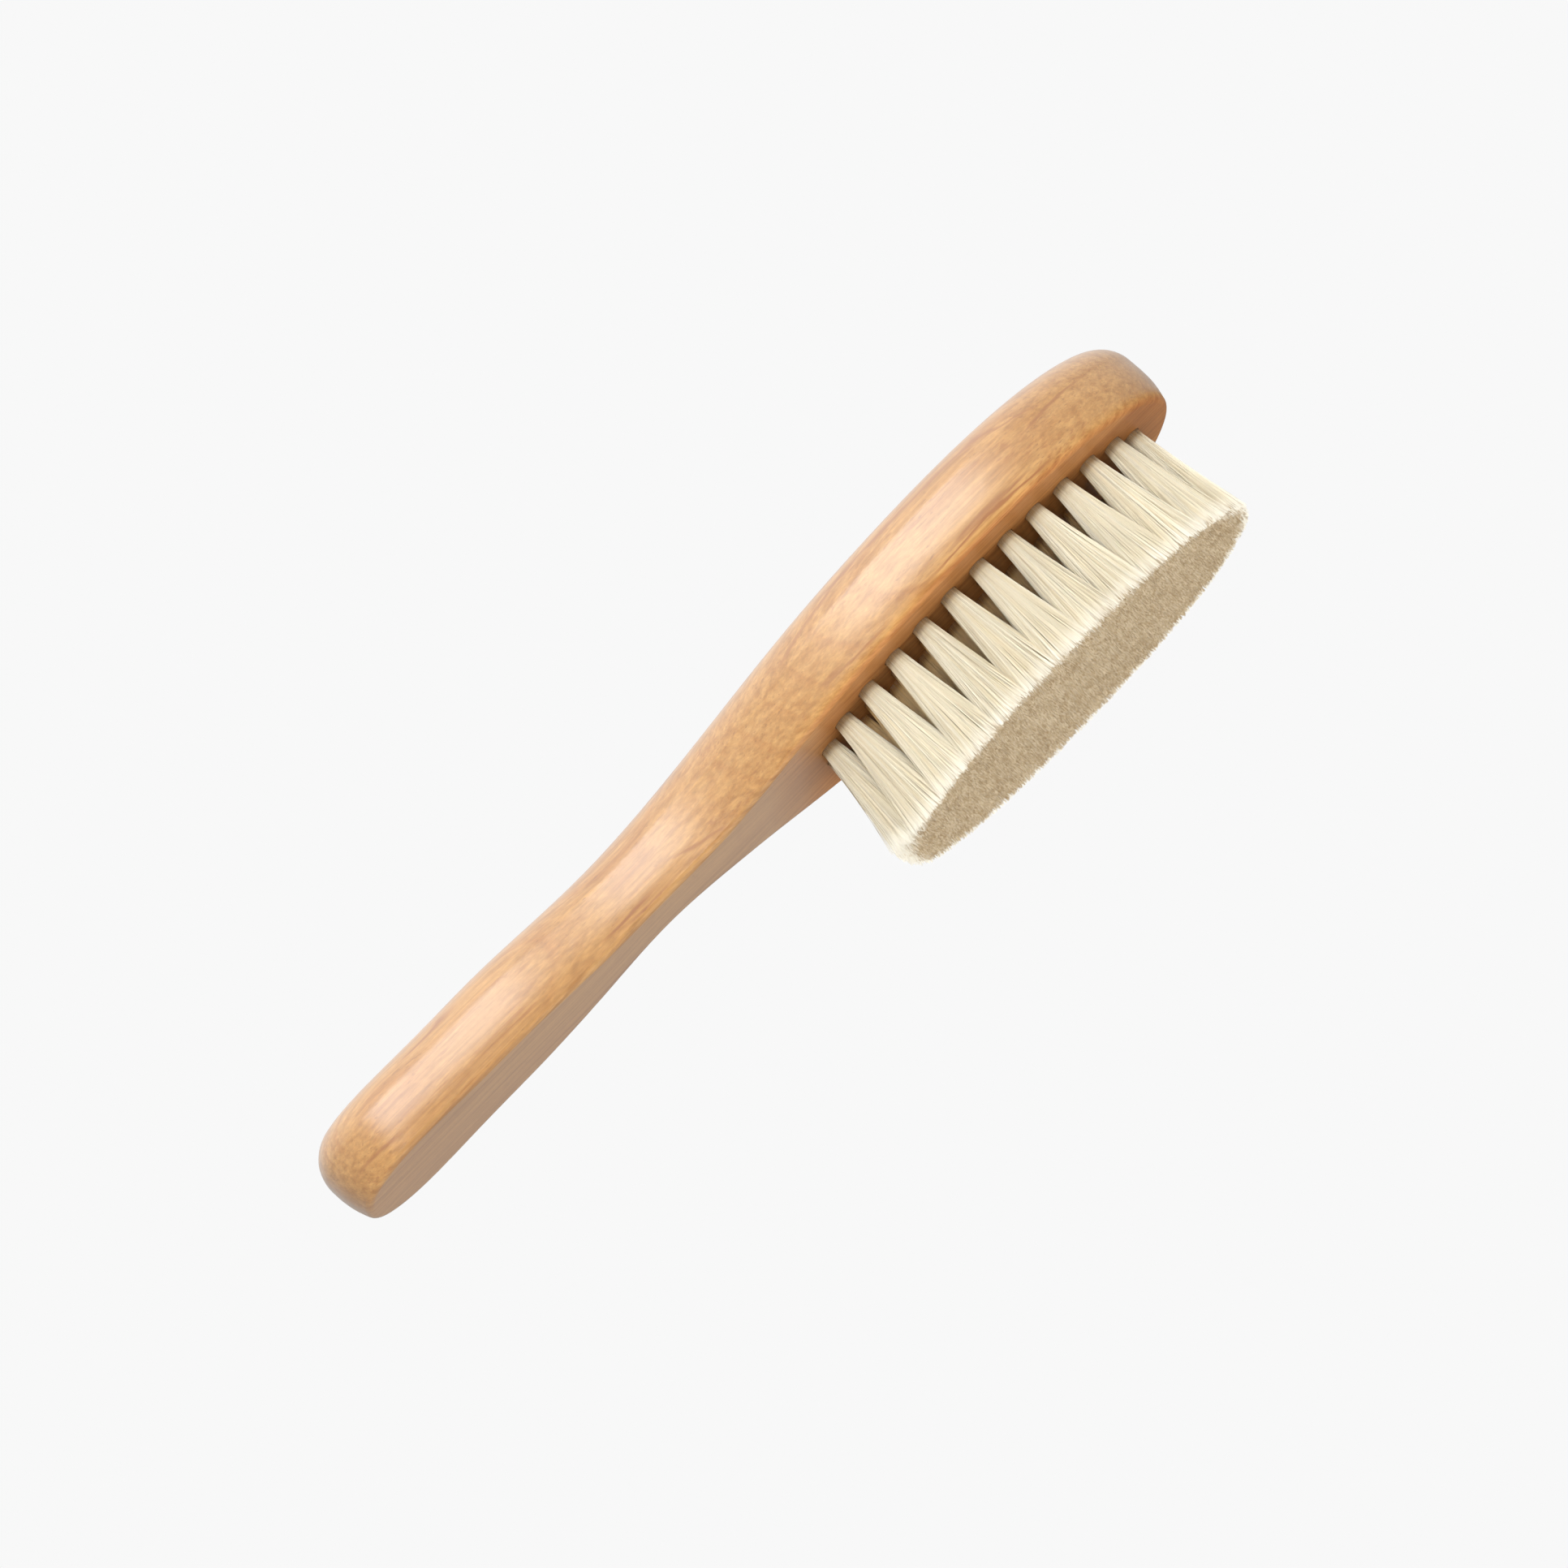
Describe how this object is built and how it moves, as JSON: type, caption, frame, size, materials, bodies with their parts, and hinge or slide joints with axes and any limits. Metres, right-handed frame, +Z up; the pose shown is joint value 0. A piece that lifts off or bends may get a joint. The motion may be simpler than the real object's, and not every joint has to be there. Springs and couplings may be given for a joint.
{
  "type": "body brush",
  "caption": "Small body brush with a one-piece wooden handle and oval head, and tufts of soft pale bristle trimmed flat",
  "frame": {"origin": "under the middle of the length, on the surface that the back rests on when the brush lies bristles up", "axes": "+X from the handle end to the tip of the head, +Y across the width, +Z up out of the bristle side"},
  "size_m": [0.175, 0.0488, 0.0346],
  "materials": {
    "wood": "satin",
    "bristle": "matte",
    "anchor_wire": "satin"
  },
  "bodies": {
    "root": {"anchors_inner": "anchor_wire", "anchors_middle": "anchor_wire", "anchors_outer": "anchor_wire", "tuft_inner_01": "bristle", "tuft_inner_02": "bristle", "tuft_inner_03": "bristle", "tuft_inner_04": "bristle", "tuft_inner_05": "bristle", "tuft_inner_06": "bristle", "tuft_inner_07": "bristle", "tuft_middle_01": "bristle", "tuft_middle_02": "bristle", "tuft_middle_03": "bristle", "tuft_middle_04": "bristle", "tuft_middle_05": "bristle", "tuft_middle_06": "bristle", "tuft_middle_07": "bristle", "tuft_middle_08": "bristle", "tuft_middle_09": "bristle", "tuft_middle_10": "bristle", "tuft_middle_11": "bristle", "tuft_middle_12": "bristle", "tuft_middle_13": "bristle", "tuft_middle_14": "bristle", "tuft_middle_15": "bristle", "tuft_middle_16": "bristle", "tuft_middle_17": "bristle", "tuft_middle_18": "bristle", "tuft_middle_19": "bristle", "tuft_outer_01": "bristle", "tuft_outer_02": "bristle", "tuft_outer_03": "bristle", "tuft_outer_04": "bristle", "tuft_outer_05": "bristle", "tuft_outer_06": "bristle", "tuft_outer_07": "bristle", "tuft_outer_08": "bristle", "tuft_outer_09": "bristle", "tuft_outer_10": "bristle", "tuft_outer_11": "bristle", "tuft_outer_12": "bristle", "tuft_outer_13": "bristle", "tuft_outer_14": "bristle", "tuft_outer_15": "bristle", "tuft_outer_16": "bristle", "tuft_outer_17": "bristle", "tuft_outer_18": "bristle", "tuft_outer_19": "bristle", "tuft_outer_20": "bristle", "tuft_outer_21": "bristle", "tuft_outer_22": "bristle", "tuft_outer_23": "bristle", "tuft_outer_24": "bristle", "tuft_outer_25": "bristle", "tuft_outer_26": "bristle", "wood_body": "wood"}
  },
  "joints": []
}
